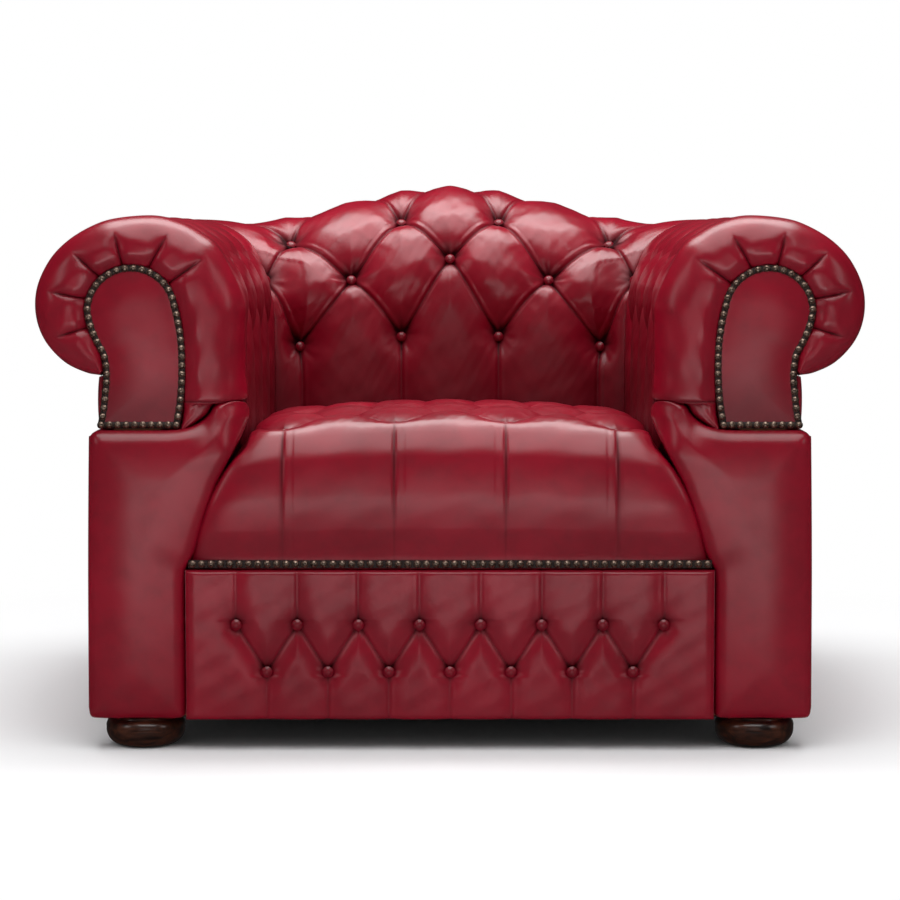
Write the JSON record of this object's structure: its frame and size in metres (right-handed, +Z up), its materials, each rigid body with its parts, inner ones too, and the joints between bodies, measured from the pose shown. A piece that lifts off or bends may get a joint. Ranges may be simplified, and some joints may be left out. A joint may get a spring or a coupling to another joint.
{
  "type": "chesterfield armchair",
  "caption": "Deep-buttoned red leather armchair with scroll arms, a tufted back and fixed seat, nailed facings and turned bun feet",
  "frame": {"origin": "on the floor under the middle of the chair's overall box", "axes": "+Z up, the front faces -Y, +X is to the right seen from the front"},
  "size_m": [1.105, 0.9225, 0.7518],
  "materials": {
    "red_leather": "antique rubbed red hide, darker in the folds, soft sheen",
    "antique_brass": "antiqued domed nail heads",
    "gimp": "dark woven gimp under the nails",
    "mahogany_foot": "dark red-brown polished, turned",
    "beech": "planed, unfinished frame timber",
    "stuffing": "foam and fibre stuffing",
    "webbing": "woven jute webbing",
    "hessian": "open woven jute cloth",
    "dust_cloth": "black bottoming cloth",
    "steel": "drawn spring wire, zinc-plated bolts"
  },
  "bodies": {
    "root": {"arm_board_left": "beech", "arm_board_right": "beech", "arm_buttons_left": "red_leather", "arm_buttons_right": "red_leather", "arm_facing_board_left": "beech", "arm_facing_board_right": "beech", "arm_facing_nails_left": "antique_brass", "arm_facing_nails_right": "antique_brass", "arm_facing_panel_left": "red_leather", "arm_facing_panel_right": "red_leather", "arm_front_band_left": "red_leather", "arm_front_band_right": "red_leather", "arm_post_front_left": "beech", "arm_post_front_right": "beech", "arm_stuffing_left": "stuffing", "arm_stuffing_right": "stuffing", "arm_tack_rail_left": "beech", "arm_tack_rail_right": "beech", "arm_webbing_left": "webbing", "arm_webbing_right": "webbing", "back_board": "beech", "back_buttons": "red_leather", "back_post_rear_left": "beech", "back_post_rear_right": "beech", "back_stuffing": "stuffing", "back_tack_rail": "beech", "back_upright": "beech", "back_webbing": "webbing", "base_front_pad_left": "red_leather", "base_front_pad_right": "red_leather", "border_buttons": "red_leather", "corner_blocks": "beech", "dust_cover": "dust_cloth", "foot_bolts": "steel", "foot_front_left": "mahogany_foot", "foot_front_right": "mahogany_foot", "foot_rear_left": "mahogany_foot", "foot_rear_right": "mahogany_foot", "front_border": "red_leather", "front_nails": "antique_brass", "inside_arm_cover_left": "red_leather", "inside_arm_cover_right": "red_leather", "inside_back_cover": "red_leather", "nail_strip": "gimp", "outside_arm_cover_left": "red_leather", "outside_arm_cover_right": "red_leather", "outside_arm_rail_left": "beech", "outside_arm_rail_right": "beech", "outside_back_cover": "red_leather", "seat_back_rail": "beech", "seat_buttons": "red_leather", "seat_cover": "red_leather", "seat_front_rail": "beech", "seat_hessian": "hessian", "seat_side_rail_left": "beech", "seat_side_rail_right": "beech", "seat_springs": "steel", "seat_stuffing": "stuffing", "spring_clips": "steel"}
  },
  "joints": []
}
